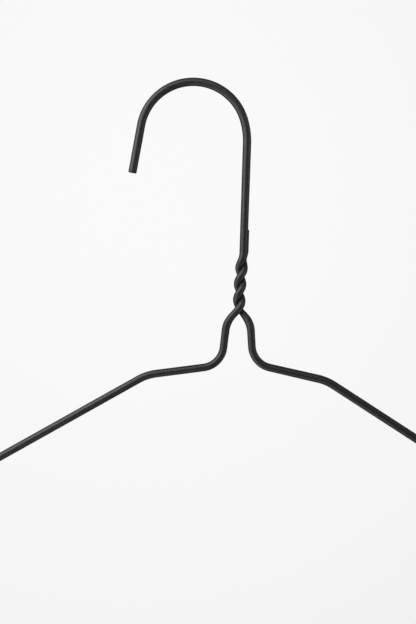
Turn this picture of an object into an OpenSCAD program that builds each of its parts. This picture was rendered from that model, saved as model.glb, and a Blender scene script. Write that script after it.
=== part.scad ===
// Wire clothes hanger with a plastic coating.
//
// One length of steel wire makes the whole frame. It runs from the hook's tip over the bow
// and down the shank, through the twist at the neck, out along the right arm, back along the
// bottom bar, up the left arm and through the twist again, and ends as a short tail beside
// the shank. The coating goes on after bending, so it is one skin from end to end. It is
// modelled in stretches that meet face to face, one for each straight or bend of the frame.
//
// The origin is the underside of the bow, where the rail bears. +Z is up, +X runs along the
// shoulders, and the hook's mouth faces -X. Points of the flat frame are [x, z] pairs.

/* [Wire] */
// Diameter of the bare steel wire
steel_d = 1.8; // [1.6:0.1:2]
// Thickness of the coating
coat_t = 0.65; // [0.4:0.05:0.8]

/* [Hook] */
// Radius of the bow, to the middle of the wire
bow_r = 21.2; // [19:0.2:24]
// Angle that the bow turns through
bow_turn = 154; // [145:1:165]
// Radius of the easier bend between the bow and the shank
ease_r = 30.7; // [25:0.1:40]
// Angle of that easier bend
ease_turn = 17.5; // [10:0.5:25]
// Straight length at the hook's tip
tip_len = 19.3; // [12:0.1:26]
// Bevel around the coating's closed ends, at the tip and the tail
end_bevel = 0.25; // [0.1:0.05:0.5]

/* [Neck] */
// Drop from the rail seat to where the two strands cross and part
cross_drop = 88.4; // [84:0.1:110]
// Height of one full turn of the twist
twist_pitch = 13; // [12:0.5:14]
// Number of half turns in the twist
half_turns = 3; // [3:2:5]
// Distance between the middles of the two strands in the twist
strand_apart = 2.4; // [2.3:0.05:2.45]
// Radius of the coating round a strand in the twist, where it is squeezed thinner
squeezed_r = 1.25; // [1.25:0.05:1.4]
// Share by which that radius is larger in front and smaller behind
front_swell = 0.14; // [0:0.02:0.14]
// Angle by which the tail lies to the right of straight behind the shank
tail_angle = 12; // [0:1:40]
// Length of the tail above the twist
tail_len = 12.6; // [8:0.1:14]
// Distance of the shank to the right of the neck's centre line
shank_offset = 1.05; // [0:0.05:1.5]
// Distance of the twist's upper half to the right of that line
twist_offset = 0.5; // [0:0.05:0.8]

/* [Shoulders] */
// Overall width
overall_w = 420; // [380:5:460]
// Bend below the crossing: distance out from the neck's centre line
neck_out = 4.8; // [4.4:0.1:5.2]
// Bend below the crossing: depth below the crossing
neck_down = 5.8; // [5.5:0.1:6.5]
// Bend from leg to shoulder: distance out
leg_out = 6.3; // [6:0.1:7]
// Bend from left leg to shoulder: depth
left_leg_down = 23; // [21:0.1:24]
// Bend from right leg to shoulder: depth
right_leg_down = 22; // [21:0.1:24]
// Kink from shoulder to arm: distance out
kink_out = 36; // [33:0.5:40]
// Kink from shoulder to arm: depth
kink_down = 27.8; // [26.5:0.1:30]
// Slope of the arms below the horizontal
arm_slope = 31.1; // [27:0.1:34]

/* [Bend radii, to the middle of the wire] */
// Bend below the crossing
neck_bend_r = 10.5; // [8:0.5:11]
// Bend from leg to shoulder
leg_bend_r = 9.2; // [8:0.2:10]
// Kink from shoulder to arm
kink_bend_r = 20; // [12:1:24]
// Bend from arm to bottom bar
end_bend_r = 8; // [6:0.5:12]

/* [Hidden] */

$fn = 96;
section_fn = 32;
steel_r = steel_d / 2;
wire_r = steel_r + coat_t;
coat_color = [0.06, 0.06, 0.06];
steel_color = [0.68, 0.69, 0.7];

left = -1;
right = 1;

function unit(v) = v / norm(v);

// ---- Hook ----

bow_c = [0, wire_r - bow_r];
ease_c = bow_c - (ease_r - bow_r) * [cos(ease_turn), sin(ease_turn)];
shank_x = ease_c[0] + ease_r;
shank_top = [shank_x, ease_c[1]];
bow_end = ease_turn + bow_turn;
tip_top = bow_c + bow_r * [cos(bow_end), sin(bow_end)];
tip_dir = [-sin(bow_end), cos(bow_end)];

// ---- Flat frame: corners of the wire's line, and the bends that round them ----

neck_x = shank_x - shank_offset;
cross_z = -cross_drop;
end_c_out = overall_w / 2 - wire_r - end_bend_r;
arm_down = kink_down + (end_c_out - kink_out) * tan(arm_slope);
bar_down = arm_down + end_bend_r / cos(arm_slope) + end_bend_r;
corner_out = kink_out + (bar_down - kink_down) / tan(arm_slope);

// Corners in order from the crossing to the middle of the bottom bar
neck = 1;
leg = 2;
kink = 3;
end = 4;
bend_r = [0, neck_bend_r, leg_bend_r, kink_bend_r, end_bend_r];

// How far out and how far down a corner lies from the crossing
function out_down(side, i) = [
    [0, 0],
    [neck_out, neck_down],
    [leg_out, side == left ? left_leg_down : right_leg_down],
    [kink_out, kink_down],
    [corner_out, bar_down],
    [0, bar_down]
][i];
function corner(side, i) =
    let (o = out_down(side, i)) [neck_x + side * o[0], cross_z - o[1]];
function heading(side, i) = unit(corner(side, i + 1) - corner(side, i));
function turn(side, i) = acos(heading(side, i - 1) * heading(side, i));
function setback(side, i) = bend_r[i] * tan(turn(side, i) / 2);
function bend_start(side, i) = corner(side, i) - setback(side, i) * heading(side, i - 1);
function bend_stop(side, i) = corner(side, i) + setback(side, i) * heading(side, i);
function inward(side, i) = unit(heading(side, i) - heading(side, i - 1));
function bend_c(side, i) =
    corner(side, i) + inward(side, i) * bend_r[i] / cos(turn(side, i) / 2);
function bend_mid(side, i) = let (v = inward(side, i)) atan2(-v[1], -v[0]);

// ---- Twist: heights are measured up from the crossing ----

twist_r = strand_apart / 2;
twist_rate = 360 / twist_pitch;
full_angle = 180 * half_turns;
twist_h = full_angle / twist_rate;
// The strands start to wind gently, over this height
wind_up = 6;
wind_low = twist_h - wind_up / 2;
wind_high = twist_h + wind_up / 2;
// At the twist's top the strands swing out to shank and tail between these heights
swing_low = twist_h - 4;
swing_high = twist_h + 4;
// The twist's axis moves off the neck's centre line between these heights
shift_low = twist_h - 13.5;
shift_high = twist_h - 2;
pair_axis = [shank_x + twist_r * sin(tail_angle), twist_r * cos(tail_angle)];
tail_top = twist_h + tail_len;
neck_top = tail_top + 2;
// The strands go over from twist to legs within this height each side of the crossing
part_h = 2.5;
// Both legs are back in the frame's plane at this depth
flat_down = 9.5;
ring_step = twist_pitch / 20;

function smooth(t) = let (c = min(max(t, 0), 1)) c * c * (3 - 2 * c);
function ease(h, low, high) = smooth((h - low) / (high - low));
function winding(h) =
    h < wind_low ? full_angle - twist_rate * h :
    h < wind_high ? twist_rate * pow(wind_high - h, 2) / (2 * wind_up) :
    0;
function phase(h) = winding(h) + tail_angle * ease(h, twist_h, swing_high);
function twist_axis(h) = [
    neck_x + twist_offset * ease(h, shift_low, shift_high)
        + (pair_axis[0] - neck_x - twist_offset) * ease(h, swing_low, swing_high),
    pair_axis[1] * ease(h, shift_low, swing_high)
];
function helix(side, h) = twist_axis(h) - side * twist_r * [sin(phase(h)), cos(phase(h))];

// The coating's radius round a strand: squeezed in the twist, and full at the legs and the shank
squeeze_low = -7;
squeeze_full = 1;
squeeze_out = twist_h - 1;
squeeze_high = twist_h + 3;
function skin_r(side, h) =
    let (
        squeeze = ease(h, squeeze_low, squeeze_full) * (1 - ease(h, squeeze_out, squeeze_high)),
        swell = 1 + front_swell * side * cos(phase(h))
    )
    wire_r + squeeze * (squeezed_r * swell - wire_r);

// Distance out of a leg at a depth below the crossing: a line, an arc, and a line
function leg_line(side, down) =
    let (
        a = out_down(side, neck),
        b = out_down(side, leg),
        lean0 = atan2(a[0], a[1]),
        lean1 = atan2(b[0] - a[0], b[1] - a[1]),
        back = setback(side, neck),
        first = a[1] - back * cos(lean0),
        last = a[1] + back * cos(lean1),
        c_out = a[0] - back * sin(lean0) - neck_bend_r * cos(lean0),
        c_down = first + neck_bend_r * sin(lean0)
    )
    down < first ? down * tan(lean0) :
    down < last ? c_out + sqrt(pow(neck_bend_r, 2) - pow(c_down - down, 2)) :
    a[0] + (down - a[1]) * tan(lean1);
function leg_at(side, h) = [
    neck_x + side * leg_line(side, -h),
    side * twist_r * smooth(1 + h / flat_down)
];

// The right leg's strand runs up into the shank, and the left leg's ends as the tail
function strand_at(side, h) =
    let (w = smooth((part_h - h) / (2 * part_h)), p = (1 - w) * helix(side, h) + w * leg_at(side, h))
    [p[0], p[1], cross_z + h];

// ---- Stations: a point of the wire's line and the way the wire runs there ----

ring_sides = 16;
bend_step = 7.5;

function flat_station(p, way) = [[p[0], 0, p[1]], [way[0], 0, way[1]]];
function arc_stations(c, r, from, to, first = 0) =
    let (n = ceil(abs(to - from) / bend_step), s = sign(to - from))
    [for (k = [first : n])
        let (a = from + (to - from) * k / n)
        flat_station(c + r * [cos(a), sin(a)], s * [-sin(a), cos(a)])];
function bend_stations(side, i) =
    let (
        m = bend_mid(side, i),
        s = sign(cross(heading(side, i - 1), heading(side, i))),
        half = s * turn(side, i) / 2
    )
    arc_stations(bend_c(side, i), bend_r[i], m - half, m + half);
function strand_station(side, h) =
    [strand_at(side, h), unit(strand_at(side, h - 0.01) - strand_at(side, h + 0.01))];
function strand_heights(top, bottom) =
    [top, for (h = [swing_high + ring_step : -ring_step : -flat_down - ring_step]) h, bottom];
function strand_stations(side, top, bottom) =
    [for (h = strand_heights(top, bottom)) strand_station(side, h)];
function neck_bottom(side) = bend_start(side, leg)[1] - cross_z;
function turned_back(stations) =
    [for (k = [len(stations) - 1 : -1 : 0]) [stations[k][0], -stations[k][1]]];
// The wire runs down the right strand and up the left one
function run(side, stations) = side == left ? turned_back(stations) : stations;
function half_frame(side, top) = run(side, concat(
    strand_stations(side, top, neck_bottom(side)),
    [for (k = [1 : len(bend_stations(side, leg)) - 1]) bend_stations(side, leg)[k]],
    bend_stations(side, kink),
    bend_stations(side, end)
));
wire_stations = concat(
    [flat_station(tip_top + (tip_len - coat_t) * tip_dir, -tip_dir)],
    arc_stations(bow_c, bow_r, bow_end, ease_turn),
    arc_stations(ease_c, ease_r, ease_turn, 0, first = 1),
    half_frame(right, neck_top),
    half_frame(left, tail_top - coat_t)
);

function ring(station, r) =
    let (u = unit(cross([0, 1, 0], station[1])), v = cross(station[1], u))
    [for (i = [0 : ring_sides - 1])
        let (a = 360 * i / ring_sides) station[0] + r * (cos(a) * u + sin(a) * v)];

// A round bar that follows a list of stations, with one radius or a radius at each of them
module sweep(stations, r) {
    n = ring_sides;
    last = len(stations) - 1;
    points = [for (j = [0 : last]) each ring(stations[j], is_list(r) ? r[j] : r)];
    walls = [for (j = [0 : last - 1], i = [0 : n - 1])
        let (a = j * n + i, b = j * n + (i + 1) % n) each [[a, a + n, b + n], [a, b + n, b]]];
    caps = [[for (i = [0 : n - 1]) i], [for (i = [n - 1 : -1 : 0]) last * n + i]];
    polyhedron(points, concat(walls, caps));
}

// The steel of one strand of the twist
module steel_strand(side, top, bottom) {
    sweep(run(side, strand_stations(side, top, bottom)), steel_r);
}

// One strand of the twist with its coating, and a bevel at a closed top
module coated_strand(side, top, bottom, bevel = 0) {
    heights = concat(bevel > 0 ? [top] : [], strand_heights(top - bevel, bottom));
    sweep(
        [for (h = heights) strand_station(side, h)],
        [for (h = heights) skin_r(side, h) - max(0, h - top + bevel)]
    );
}

// ---- Stretches of coating ----

module coat_section() {
    difference() {
        circle(wire_r, $fn = section_fn);
        circle(steel_r, $fn = section_fn);
    }
}

module straight_coat(p, q) {
    d = q - p;
    color(coat_color) translate([p[0], 0, p[1]]) rotate([0, atan2(d[0], d[1]), 0])
        linear_extrude(norm(d)) coat_section();
}

module arc_coat(c, r, from, angle) {
    color(coat_color) translate([c[0], 0, c[1]]) rotate([90, 0, 0]) rotate([0, 0, from])
        rotate_extrude(angle = angle) translate([r, 0]) coat_section();
}

module bend_coat(side, i) {
    t = turn(side, i);
    arc_coat(bend_c(side, i), bend_r[i], bend_mid(side, i) - t / 2, t);
}

// From one bend of the frame to the next
module between_bends(side, i) {
    straight_coat(bend_stop(side, i), bend_start(side, i + 1));
}

// ---- Pieces ----

module steel_wire() {
    color(steel_color) sweep(wire_stations, steel_r);
}

// The tip is closed and its rim is bevelled
module hook_tip_coating() {
    color(coat_color)
        translate([tip_top[0], 0, tip_top[1]]) rotate([0, atan2(tip_dir[0], tip_dir[1]), 0])
            rotate_extrude() polygon([
                [steel_r, 0], [wire_r, 0], [wire_r, tip_len - end_bevel],
                [wire_r - end_bevel, tip_len], [0, tip_len],
                [0, tip_len - coat_t], [steel_r, tip_len - coat_t]
            ]);
}

module hook_bow_coating() {
    arc_coat(bow_c, bow_r, ease_turn, bow_turn);
}

module shank_bend_coating() {
    arc_coat(ease_c, ease_r, 0, ease_turn);
}

module shank_coating() {
    straight_coat([shank_x, cross_z + neck_top], shank_top);
}

// Both strands share one skin here, and the tail's end is closed
module neck_coating() {
    over = 1;
    color(coat_color) difference() {
        union() {
            coated_strand(right, neck_top, neck_bottom(right));
            coated_strand(left, tail_top, neck_bottom(left), end_bevel);
        }
        steel_strand(right, neck_top + over, neck_bottom(right) - over);
        steel_strand(left, tail_top - coat_t, neck_bottom(left) - over);
    }
}

module bottom_bar_coating() {
    straight_coat(bend_stop(left, end), bend_stop(right, end));
}

steel_wire();
hook_tip_coating();
hook_bow_coating();
shank_bend_coating();
shank_coating();
neck_coating();
bend_coat(left, leg);  // left_leg_bend_coating
bend_coat(right, leg);  // right_leg_bend_coating
between_bends(left, leg);  // left_shoulder_coating
between_bends(right, leg);  // right_shoulder_coating
bend_coat(left, kink);  // left_kink_coating
bend_coat(right, kink);  // right_kink_coating
between_bends(left, kink);  // left_arm_coating
between_bends(right, kink);  // right_arm_coating
bend_coat(left, end);  // left_corner_coating
bend_coat(right, end);  // right_corner_coating
bottom_bar_coating();
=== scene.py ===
"""A black coated wire clothes hanger.

Fine skins take the place of the CAD's coating stretches. Materials, light and camera follow.
"""

import math

import bmesh
import bpy
import numpy as np
from mathutils import Matrix, Vector, noise

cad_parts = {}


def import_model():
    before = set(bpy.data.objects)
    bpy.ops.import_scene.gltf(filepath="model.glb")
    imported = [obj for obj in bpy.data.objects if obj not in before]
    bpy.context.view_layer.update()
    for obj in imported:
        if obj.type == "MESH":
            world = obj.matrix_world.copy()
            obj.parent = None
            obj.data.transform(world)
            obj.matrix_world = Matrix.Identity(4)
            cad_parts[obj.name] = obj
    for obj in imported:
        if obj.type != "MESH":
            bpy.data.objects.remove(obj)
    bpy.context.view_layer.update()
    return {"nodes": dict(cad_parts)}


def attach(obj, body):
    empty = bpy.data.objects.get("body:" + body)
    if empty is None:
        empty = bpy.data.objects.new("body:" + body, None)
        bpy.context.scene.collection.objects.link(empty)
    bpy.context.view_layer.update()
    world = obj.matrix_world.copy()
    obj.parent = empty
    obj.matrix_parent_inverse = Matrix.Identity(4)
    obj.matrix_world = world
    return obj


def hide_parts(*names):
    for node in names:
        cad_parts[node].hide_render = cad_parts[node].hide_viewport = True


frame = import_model()

MM = 0.001


# ---- The wire's line, built as in the CAD, in millimetres and degrees ----

WIRE_R = 1.55
LEFT, RIGHT = -1, 1

# The bow's arc, the easier bend down into the shank, and the straight tip with its rounded rim
BOW_R, BOW_TURN = 21.2, 154.0
EASE_R, EASE_TURN = 30.7, 17.5
TIP_LEN, TIP_ROUND = 19.3, 0.2

# The twist: its lowest crossing, how the strands wind, and the skin squeezed between them
CROSS_Z = -88.4
TWIST_PITCH, HALF_TURNS = 13.0, 3
STRAND_APART, SQUEEZED_R, FRONT_SWELL = 2.4, 1.25, 0.14
TAIL_ANGLE, TAIL_LEN = 12.0, 12.6
SHANK_OFFSET, TWIST_OFFSET = 1.05, 0.5

# The frame's corners, out and down from the crossing, and the radius of the bend at each
OVERALL_W = 420.0
NECK_OUT, NECK_DOWN = 4.8, 5.8
LEG_OUT, LEG_DOWN = 6.3, {LEFT: 23.0, RIGHT: 22.0}
KINK_OUT, KINK_DOWN = 36.0, 27.8
ARM_SLOPE = math.radians(31.1)
NECK, LEG, KINK, END = 1, 2, 3, 4
BEND_R = {NECK: 10.5, LEG: 9.2, KINK: 20.0, END: 8.0}


def polar(degrees):
    a = math.radians(degrees)
    return np.array([math.cos(a), math.sin(a)])


def unit(v):
    v = np.asarray(v, float)
    return v / np.linalg.norm(v, axis=-1, keepdims=True)


bow_c = np.array([0.0, WIRE_R - BOW_R])
ease_c = bow_c - (EASE_R - BOW_R) * polar(EASE_TURN)
shank_x = ease_c[0] + EASE_R
bow_end = EASE_TURN + BOW_TURN
tip_top = bow_c + BOW_R * polar(bow_end)
tip_dir = polar(bow_end + 90)
neck_x = shank_x - SHANK_OFFSET

end_c_out = OVERALL_W / 2 - WIRE_R - BEND_R[END]
arm_down = KINK_DOWN + (end_c_out - KINK_OUT) * math.tan(ARM_SLOPE)
bar_down = arm_down + BEND_R[END] / math.cos(ARM_SLOPE) + BEND_R[END]
corner_out = KINK_OUT + (bar_down - KINK_DOWN) / math.tan(ARM_SLOPE)


def out_down(side, i):
    """Corner i of one side, counted from the crossing to the middle of the bottom bar."""
    return [
        (0, 0),
        (NECK_OUT, NECK_DOWN),
        (LEG_OUT, LEG_DOWN[side]),
        (KINK_OUT, KINK_DOWN),
        (corner_out, bar_down),
        (0, bar_down),
    ][i]


def corner(side, i):
    out, down = out_down(side, i)
    return np.array([neck_x + side * out, CROSS_Z - down])


def heading(side, i):
    return unit(corner(side, i + 1) - corner(side, i))


def turn(side, i):
    return math.acos(float(heading(side, i - 1) @ heading(side, i)))


def setback(side, i):
    """How far before a corner its bend starts."""
    return BEND_R[i] * math.tan(turn(side, i) / 2)


def bend_start(side, i):
    return corner(side, i) - setback(side, i) * heading(side, i - 1)


def bend_stop(side, i):
    return corner(side, i) + setback(side, i) * heading(side, i)


def bend_centre(side, i):
    inward = unit(heading(side, i) - heading(side, i - 1))
    return corner(side, i) + inward * BEND_R[i] / math.cos(turn(side, i) / 2)


def flat(points):
    """Points of the flat frame, [x, z], as points in space."""
    p = np.atleast_2d(points)
    return np.stack([p[:, 0], 0 * p[:, 0], p[:, 1]], 1)


def line(p, q, step=1.2):
    """Points from p to q, and the wire's direction at each."""
    n = max(2, int(np.linalg.norm(q - p) / step) + 1)
    t = np.linspace(0, 1, n)[:, None]
    return flat(p + t * (q - p)), flat(np.repeat([unit(q - p)], n, 0))


def arc(c, p, q, step=0.35):
    """Points on the arc about c from p to q, the short way, and the wire's direction at each."""
    a, b = p - c, q - c
    r = np.linalg.norm(a)
    way = 1.0 if a[0] * b[1] - a[1] * b[0] > 0 else -1.0
    angle = math.acos(max(-1.0, min(1.0, float(a @ b) / r**2)))
    n = max(4, int(angle * r / step) + 1)
    t = np.linspace(0, way * angle, n)[:, None]
    side = np.array([-a[1], a[0]])
    p = c + np.cos(t) * a + np.sin(t) * side
    d = way * (np.cos(t) * side - np.sin(t) * a) / r
    return flat(p), flat(d)


# ---- The twist: heights are measured up from the crossing ----

twist_r = STRAND_APART / 2
twist_rate = 2 * math.pi / TWIST_PITCH
full_angle = math.pi * HALF_TURNS
twist_h = full_angle / twist_rate
# Height over which the winding comes to a stop
WIND_UP = 6.0
# The twist drifts sideways on its way up, then the pair of strands swings over to the shank
shift_low, shift_high = twist_h - 13.5, twist_h - 2
swing_low, swing_high = twist_h - 4, twist_h + 4
# Going up, the skin thins between the first two heights, and is full again after the last two
squeeze_low, squeeze_full = -7, 1
squeeze_out, squeeze_high = twist_h - 1, twist_h + 3
tail_angle = math.radians(TAIL_ANGLE)
pair_x = shank_x + twist_r * math.sin(tail_angle)
pair_y = twist_r * math.cos(tail_angle)
tail_top = twist_h + TAIL_LEN
neck_top = tail_top + 2
# Half the height over which the strands part into legs, and how far down the legs are flat again
PART_H, FLAT_DOWN = 2.5, 9.5


def smooth(t):
    """A smooth step from 0 to 1."""
    t = np.clip(t, 0, 1)
    return t * t * (3 - 2 * t)


def ease(h, low, high):
    return smooth((h - low) / (high - low))


def phase(h):
    """The twist's angle at a height, in radians."""
    low, high = twist_h - WIND_UP / 2, twist_h + WIND_UP / 2
    wound = np.where(
        h < low,
        full_angle - twist_rate * h,
        twist_rate * np.maximum(high - h, 0) ** 2 / (2 * WIND_UP),
    )
    return wound + tail_angle * ease(h, twist_h, swing_high)


def helix(side, h):
    """The x and y of one strand in the twist."""
    x = neck_x + TWIST_OFFSET * ease(h, shift_low, shift_high)
    x = x + (pair_x - neck_x - TWIST_OFFSET) * ease(h, swing_low, swing_high)
    y = pair_y * ease(h, shift_low, swing_high)
    return x - side * twist_r * np.sin(phase(h)), y - side * twist_r * np.cos(phase(h))


def skin_r(side, h):
    """The coating's radius round a strand: squeezed thinner in the twist."""
    squeeze = ease(h, squeeze_low, squeeze_full) * (1 - ease(h, squeeze_out, squeeze_high))
    swell = 1 + FRONT_SWELL * side * np.cos(phase(h))
    return WIRE_R + squeeze * (SQUEEZED_R * swell - WIRE_R)


def leg(side, h):
    """The x and y of one leg below the twist, round its bend."""
    (ax, ad), (bx, bd) = out_down(side, NECK), out_down(side, LEG)
    lean0, lean1 = math.atan2(ax, ad), math.atan2(bx - ax, bd - ad)
    back, r = setback(side, NECK), BEND_R[NECK]
    first, last = ad - back * math.cos(lean0), ad + back * math.cos(lean1)
    c_out = ax - back * math.sin(lean0) - r * math.cos(lean0)
    c_down = first + r * math.sin(lean0)
    down = -h
    bent = c_out + np.sqrt(np.maximum(r**2 - (c_down - down) ** 2, 0))
    out = np.where(
        down < first,
        down * math.tan(lean0),
        np.where(down < last, bent, ax + (down - ad) * math.tan(lean1)),
    )
    return neck_x + side * out, side * twist_r * smooth(1 + h / FLAT_DOWN)


def strand(side, h):
    """The strand's middle at these heights: the right one is the shank, the left one the tail."""
    w = smooth((PART_H - h) / (2 * PART_H))
    hx, hy = helix(side, h)
    lx, ly = leg(side, h)
    return np.stack([(1 - w) * hx + w * lx, (1 - w) * hy + w * ly, CROSS_Z + h], -1)


# ---- Meshes ----

SIDES = 48
# How much thicker than WIRE_R the dipped skin is, and how that changes along the wire
SKIN_MORE, HOOK_MORE, LEG_LESS, RIGHT_ARM_MORE = 0.068, 0.065, 0.07, 0.09
# Where those changes start and are complete: up the shank, down the legs, out along the right arm
HOOK_FROM, HOOK_FULL = -60, -20
LEGS_FROM, LEGS_FULL = -92, -104
RIGHT_ARM_FROM, RIGHT_ARM_FULL = 8, 33
# The skin's waviness: its depth, and the scale and offset of a long wave and a short one
SKIN_WAVE = 0.012
LONG_SCALE, LONG_AT = 0.16, Vector((7.1, 0.4, 3.3))
SHORT_SCALE, SHORT_AT = 0.42, Vector((1.7, 5.2, 9.6))
SHARP_ANGLE = math.radians(32)
# Height between rings of a strand, and how far below the tail's end its dome starts
STRAND_STEP, TAIL_END_DROP = 0.2, 1.15
NEARBY = 0.01
# Angles of the rings round the tip's rim, and down the tail's dome
RIM_ANGLES = np.radians([15, 30, 45, 60, 75, 90])
DOME_ANGLES = np.radians(np.arange(85, 0, -7.5))


def skin_wave(points):
    """How far the dipped skin stands out at each point, in millimetres."""
    x, z = points[:, 0], points[:, 2]
    hook = ease(z, HOOK_FROM, HOOK_FULL)
    legs = 1 - ease(z, LEGS_FULL, LEGS_FROM)
    right_arm = ease(x, neck_x + RIGHT_ARM_FROM, neck_x + RIGHT_ARM_FULL)
    thicker = SKIN_MORE + HOOK_MORE * hook - legs * (LEG_LESS - RIGHT_ARM_MORE * right_arm)
    wave = [
        noise.noise(Vector(p) * LONG_SCALE + LONG_AT)
        + 0.5 * noise.noise(Vector(p) * SHORT_SCALE + SHORT_AT)
        for p in points
    ]
    return thicker + SKIN_WAVE * np.array(wave)


def new_piece(name, verts, faces, caps=()):
    """A smooth-shaded piece from millimetre points. The edges round its end caps are sharp."""
    mesh = bpy.data.meshes.new(name)
    mesh.from_pydata((np.asarray(verts) * MM).tolist(), [], faces)
    bm = bmesh.new()
    bm.from_mesh(mesh)
    bm.faces.ensure_lookup_table()
    bmesh.ops.recalc_face_normals(bm, faces=bm.faces)
    for f in bm.faces:
        f.smooth = True
    for i in caps:
        for e in bm.faces[i].edges:
            e.smooth = False
    bm.to_mesh(mesh)
    bm.free()
    piece = bpy.data.objects.new(name, mesh)
    bpy.context.scene.collection.objects.link(piece)
    return piece


def tube(name, points, ways, radii=None):
    """A closed skin round a stretch of the wire's line, of the wire's radius unless radii says."""
    radii = np.full(len(points), WIRE_R) if radii is None else radii
    u = unit(np.cross([0.0, 1.0, 0.0], ways))
    v = np.cross(ways, u)
    a = np.linspace(0, 2 * math.pi, SIDES, endpoint=False)
    out = np.cos(a)[None, :, None] * u[:, None] + np.sin(a)[None, :, None] * v[:, None]
    rings = points[:, None] + radii[:, None, None] * out
    wave = skin_wave(rings.reshape(-1, 3)).reshape(len(points), SIDES, 1)
    verts = (rings + wave * out).reshape(-1, 3)
    last = (len(points) - 1) * SIDES
    faces = []
    for ring in range(0, last, SIDES):
        above = ring + SIDES
        for i in range(SIDES):
            k = (i + 1) % SIDES
            faces.append((ring + i, ring + k, above + k, above + i))
    faces.append(tuple(range(SIDES - 1, -1, -1)))
    faces.append(tuple(last + i for i in range(SIDES)))
    return new_piece(name, verts, faces, (len(faces) - 2, len(faces) - 1))


def hook_tip():
    """The straight tip, whose closed end has a rounded rim."""
    end = tip_top + TIP_LEN * tip_dir
    points, ways = line(tip_top, end - TIP_ROUND * tip_dir)
    rim = flat(end + (np.sin(RIM_ANGLES) - 1)[:, None] * TIP_ROUND * tip_dir)
    rim_r = WIRE_R - TIP_ROUND + TIP_ROUND * np.cos(RIM_ANGLES)
    # Three rings on the flat end, inside the rim
    inner = np.array([0.75, 0.5, 0.25]) * (WIRE_R - TIP_ROUND)
    points = np.vstack([points, rim, np.repeat(rim[-1:], len(inner), 0)])
    radii = np.concatenate([np.full(len(ways), WIRE_R), rim_r, inner])
    ways = np.repeat(ways[:1], len(points), 0)
    piece = tube("hook_tip_skin", points, ways, radii)
    mesh = piece.data
    for i in mesh.polygons[-1].loop_indices:
        mesh.edges[mesh.loops[i].edge_index].use_edge_sharp = False
    return piece


def strand_skin(side, heights, radii):
    """The skin round one strand of the twist, from the top down."""
    # The wire's direction, from two points just above and below each ring
    ways = unit(strand(side, heights - NEARBY) - strand(side, heights + NEARBY))
    return tube("strand", strand(side, heights), ways, radii)


def joined(name, one, other):
    """Two closed pieces as one closed skin, with sharp edges where they meet."""
    union = one.modifiers.new("union", "BOOLEAN")
    union.operation, union.solver, union.object = "UNION", "EXACT", other
    whole = one.evaluated_get(bpy.context.evaluated_depsgraph_get())
    mesh = bpy.data.meshes.new_from_object(whole)
    mesh.name = name
    for old in (one, other):
        bpy.data.meshes.remove(old.data)
    mesh.set_sharp_from_angle(angle=SHARP_ANGLE)
    piece = bpy.data.objects.new(name, mesh)
    bpy.context.scene.collection.objects.link(piece)
    return piece


def neck():
    """One skin round both strands of the twist; the tail's end is a dome."""
    dome = tail_top - TAIL_END_DROP
    bottom = {side: bend_start(side, LEG)[1] - CROSS_Z for side in (LEFT, RIGHT)}
    right = np.append(np.arange(neck_top, bottom[RIGHT], -STRAND_STEP), bottom[RIGHT])
    left = np.append(np.arange(dome, bottom[LEFT], -STRAND_STEP), bottom[LEFT])
    heights = np.concatenate([dome + WIRE_R * np.sin(DOME_ANGLES), left])
    radii = np.concatenate([WIRE_R * np.cos(DOME_ANGLES), skin_r(LEFT, left)])
    shank = strand_skin(RIGHT, right, skin_r(RIGHT, right))
    tail = strand_skin(LEFT, heights, radii)
    return joined("neck_skin", shank, tail)


# ---- Materials ----


class Nodes:
    """A small helper to write node trees in few lines."""

    def __init__(self, tree):
        self.tree = tree
        tree.nodes.clear()

    def add(self, kind, _inputs=None, **settings):
        node = self.tree.nodes.new(kind)
        for k, v in settings.items():
            setattr(node, k, v)
        for k, v in (_inputs or {}).items():
            if isinstance(v, bpy.types.NodeSocket):
                self.tree.links.new(v, node.inputs[k])
            else:
                node.inputs[k].default_value = v
        return node

    def place(self, scale):
        """Object coordinates in millimetres, stretched by scale."""
        co = self.add("ShaderNodeTexCoord").outputs["Object"]
        s = [1000 * x for x in scale]
        return self.add("ShaderNodeMapping", {"Vector": co, "Scale": s}).outputs[0]

    def noise(self, scale, at=(1, 1, 1), detail=3.0, rough=0.5):
        """Noise of about scale waves to a millimetre, stretched by at."""
        node = self.add(
            "ShaderNodeTexNoise",
            {"Vector": self.place(at), "Scale": scale, "Detail": detail, "Roughness": rough},
        )
        return node.outputs["Fac"]

    def ramp(self, value, low, high, to_low=0.0, to_high=1.0):
        """Value from low to high, brought to the range to_low to to_high and held at its ends."""
        range_from = {"Value": value, "From Min": low, "From Max": high}
        range_to = {"To Min": to_low, "To Max": to_high}
        return self.add("ShaderNodeMapRange", {**range_from, **range_to}).outputs["Result"]

    def math(self, operation, a, b):
        return self.add("ShaderNodeMath", {0: a, 1: b}, operation=operation).outputs[0]

    def mix(self, fac, a, b):
        """A mix of two colours."""
        # On a Mix node, inputs 6 and 7 and output 2 are the colours
        return self.add("ShaderNodeMix", {"Factor": fac, 6: a, 7: b}, data_type="RGBA").outputs[2]

    def vector(self, operation, a, b):
        """The value that a vector operation gives."""
        return self.add("ShaderNodeVectorMath", {0: a, 1: b}, operation=operation).outputs["Value"]


def material(name):
    m = bpy.data.materials.new(name)
    m.use_nodes = True
    return m, Nodes(m.node_tree)


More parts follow.
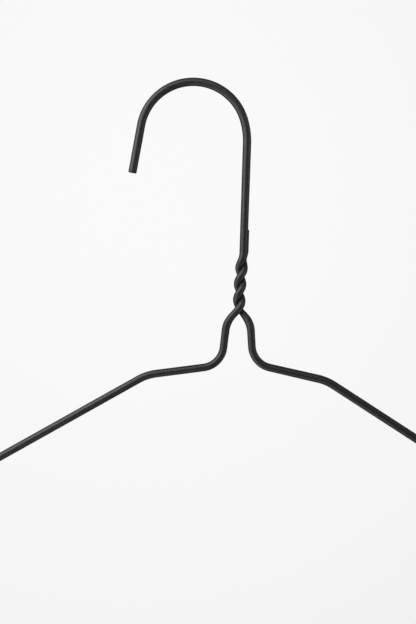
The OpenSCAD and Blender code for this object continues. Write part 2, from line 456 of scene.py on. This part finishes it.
def coating_material():
    """Satin black dipped plastic with a faint orange peel, rubbed where the rail bears."""
    m, n = material("coating")
    tone = n.ramp(n.noise(0.35, detail=4), 0.3, 0.7)
    speck = n.ramp(n.noise(2.6, detail=2), 0.66, 0.74)
    # The rub fades out 5.5 mm from the rail seat, which is the origin
    place = n.add("ShaderNodeTexCoord").outputs["Object"]
    rub = n.ramp(n.vector("DISTANCE", place, (0.0, 0.0, 0.0)), 0.0055, 0.0005)
    rub = n.math("MULTIPLY", rub, n.ramp(n.noise(1.6, at=(0.4, 1, 1), detail=5), 0.42, 0.62))
    base = n.mix(tone, (0.0105, 0.0105, 0.0108, 1), (0.0145, 0.0145, 0.0148, 1))
    base = n.mix(n.math("MULTIPLY", speck, 0.35), base, (0.03, 0.03, 0.03, 1))
    base = n.mix(n.math("MULTIPLY", rub, 0.6), base, (0.035, 0.035, 0.035, 1))
    rough = n.ramp(n.noise(0.8, detail=4), 0.3, 0.7, 0.42, 0.47)
    rough = n.math("SUBTRACT", rough, n.math("MULTIPLY", rub, 0.1))
    peel = n.noise(1.5, detail=2, rough=0.45)
    grain = n.noise(7.0, detail=2)
    height = n.math("ADD", peel, n.math("MULTIPLY", grain, 0.12))
    bump = n.add("ShaderNodeBump", {"Height": height, "Strength": 0.2, "Distance": 0.00002})
    shader = n.add(
        "ShaderNodeBsdfPrincipled",
        {"Base Color": base, "Roughness": rough, "IOR": 1.5, "Normal": bump.outputs[0]},
    )
    n.add("ShaderNodeOutputMaterial", {"Surface": shader.outputs[0]})
    return m


def steel_material():
    """Drawn steel wire, with fine lines along the wire and a little tarnish."""
    m, n = material("steel")
    tarnish = n.ramp(n.noise(0.5, detail=5), 0.35, 0.75)
    base = n.mix(tarnish, (0.58, 0.585, 0.59, 1), (0.42, 0.41, 0.395, 1))
    rough = n.ramp(n.noise(1.2, detail=3), 0.3, 0.7, 0.28, 0.42)
    lines = n.noise(6.0, at=(0.15, 1, 0.15), detail=3)
    bump = n.add("ShaderNodeBump", {"Height": lines, "Strength": 0.3, "Distance": 0.00001})
    shader = n.add(
        "ShaderNodeBsdfPrincipled",
        {"Base Color": base, "Metallic": 1.0, "Roughness": rough, "Normal": bump.outputs[0]},
    )
    n.add("ShaderNodeOutputMaterial", {"Surface": shader.outputs[0]})
    return m


def floor_material():
    """A pale matt board that lights itself."""
    m, n = material("floor")
    tone = n.ramp(n.noise(0.004, detail=3), 0.3, 0.7)
    base = n.mix(tone, (0.86, 0.86, 0.86, 1), (0.88, 0.88, 0.88, 1))
    grain = n.noise(0.4)
    bump = n.add("ShaderNodeBump", {"Height": grain, "Strength": 0.1, "Distance": 0.0002})
    surface = {"Base Color": base, "Roughness": 0.9, "Normal": bump.outputs[0]}
    glow = {"Emission Color": base, "Emission Strength": 0.85}
    shader = n.add("ShaderNodeBsdfPrincipled", {**surface, **glow})
    n.add("ShaderNodeOutputMaterial", {"Surface": shader.outputs[0]})
    return m


# ---- The pieces ----

coating = coating_material()
steel = steel_material()


def dress(obj, look):
    """Gives an object this material and no other."""
    obj.data.materials.clear()
    obj.data.materials.append(look)


def coat(piece, node):
    """Makes a skin the coating that this CAD node stands for."""
    dress(piece, coating)
    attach(piece, "root")
    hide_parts(node)


dress(frame["nodes"]["steel_wire"], steel)
coat(hook_tip(), "hook_tip_coating")
bow_stop = bow_c + BOW_R * polar(EASE_TURN)
ease_start = ease_c + EASE_R * polar(EASE_TURN)
shank_top = np.array([shank_x, ease_c[1]])
neck_end = np.array([shank_x, CROSS_Z + neck_top])
coat(tube("hook_bow_skin", *arc(bow_c, tip_top, bow_stop)), "hook_bow_coating")
coat(tube("shank_bend_skin", *arc(ease_c, ease_start, shank_top)), "shank_bend_coating")
coat(tube("shank_skin", *line(shank_top, neck_end)), "shank_coating")
coat(neck(), "neck_coating")
# Each corner of the frame: its bend, and the straight that follows it
CORNERS = ((LEG, "leg_bend", "shoulder"), (KINK, "kink", "arm"), (END, "corner", None))
for side, label in ((LEFT, "left"), (RIGHT, "right")):
    for i, bend, straight in CORNERS:
        start, stop = bend_start(side, i), bend_stop(side, i)
        skin = tube(f"{label}_{bend}_skin", *arc(bend_centre(side, i), start, stop))
        coat(skin, f"{label}_{bend}_coating")
        if straight:
            skin = tube(f"{label}_{straight}_skin", *line(stop, bend_start(side, i + 1)))
            coat(skin, f"{label}_{straight}_coating")
bar = line(bend_stop(LEFT, END), bend_stop(RIGHT, END))
coat(tube("bottom_bar_skin", *bar), "bottom_bar_coating")


# ---- Floor, light and camera, in metres ----

FLOOR_Z, FLOOR_HALF, FLOOR_SQUARES = -1.25, 3.2, 24
AIM = (0.0, 0.0, -0.09)
CAMERA_AIM, CAMERA_AWAY = Vector((0.00825, 0.0, -0.09029)), 0.45
CAMERA_ROLL, CAMERA_LENS = math.radians(1.885), 64.9


def floor():
    """A pale floor far below, which lights itself and sends no light up to the hanger."""
    bm = bmesh.new()
    bmesh.ops.create_grid(bm, x_segments=FLOOR_SQUARES, y_segments=FLOOR_SQUARES, size=FLOOR_HALF)
    mesh = bpy.data.meshes.new("floor")
    bm.to_mesh(mesh)
    bm.free()
    mesh.transform(Matrix.Translation((0, 0, FLOOR_Z)))
    obj = bpy.data.objects.new("floor", mesh)
    bpy.context.scene.collection.objects.link(obj)
    obj.visible_diffuse = obj.visible_glossy = False
    dress(obj, floor_material())


def area_light(name, place, target, size, power):
    """A rectangular soft light of this size, turned to its target."""
    data = bpy.data.lights.new(name, "AREA")
    data.shape = "RECTANGLE"
    data.size, data.size_y = size
    data.energy = power
    obj = bpy.data.objects.new(name, data)
    obj.location = place
    way = Vector(target) - Vector(place)
    obj.rotation_euler = way.to_track_quat("-Z", "Y").to_euler()
    obj.visible_camera = False
    bpy.context.scene.collection.objects.link(obj)


def world():
    """A pale backdrop for the camera. The hanger gets a dimmer light, mostly from behind."""
    w = bpy.data.worlds.new("studio")
    bpy.context.scene.world = w
    w.use_nodes = True
    n = Nodes(w.node_tree)
    way = n.add("ShaderNodeTexCoord").outputs["Generated"]
    brightest = n.vector("DOT_PRODUCT", way, (-0.069, 0.993, 0.099))
    behind = n.vector("DOT_PRODUCT", way, (0.0, 1.0, 0.0))
    shown = n.ramp(brightest, 0.9, 1.0, 0.878, 0.954)
    lit = n.ramp(behind, 0.0, 1.0, 0.03, 0.12)
    camera = n.add("ShaderNodeLightPath").outputs["Is Camera Ray"]
    # On a Mix node, inputs 2 and 3 and output 0 are the plain numbers
    mix = n.add("ShaderNodeMix", {"Factor": camera, 2: lit, 3: shown}, data_type="FLOAT")
    back = n.add("ShaderNodeBackground", {"Color": mix.outputs[0], "Strength": 1.0})
    n.add("ShaderNodeOutputWorld", {"Surface": back.outputs[0]})


def camera():
    """Level, square to the frame, and rolled a little, as the hanger hangs out of true."""
    data = bpy.data.cameras.new("camera")
    data.lens = CAMERA_LENS
    data.sensor_width = 36
    data.clip_start = 0.01
    obj = bpy.data.objects.new("camera", data)
    bpy.context.scene.collection.objects.link(obj)
    right = Vector((math.cos(CAMERA_ROLL), 0, math.sin(CAMERA_ROLL)))
    up = Vector((-math.sin(CAMERA_ROLL), 0, math.cos(CAMERA_ROLL)))
    back = Vector((0, -1, 0))
    turned = Matrix((right, up, back)).transposed().to_4x4()
    obj.matrix_world = Matrix.Translation(CAMERA_AIM + CAMERA_AWAY * back) @ turned
    bpy.context.scene.camera = obj


floor()
world()
area_light("left", (-0.38, -0.2, 0.0), AIM, (0.5, 1.1), 2.45)
area_light("left_near", (-0.22, -0.18, 0.09), (0.0, 0.0, -0.02), (0.25, 0.25), 0.4)
area_light("left_high", (-0.34, -0.27, 0.25), AIM, (0.45, 0.5), 0.9)
area_light("left_low", (-0.4, -0.15, -0.4), AIM, (0.5, 0.5), 1.0)
area_light("right", (0.72, -0.16, -0.12), AIM, (0.6, 1.3), 2.7)
area_light("front_high", (0.0, -0.45, 0.4), AIM, (0.5, 0.4), 1.05)
area_light("below", (-0.1, -0.12, -0.62), AIM, (1.0, 0.4), 1.1)
camera()
bpy.context.scene.view_settings.view_transform = "Standard"
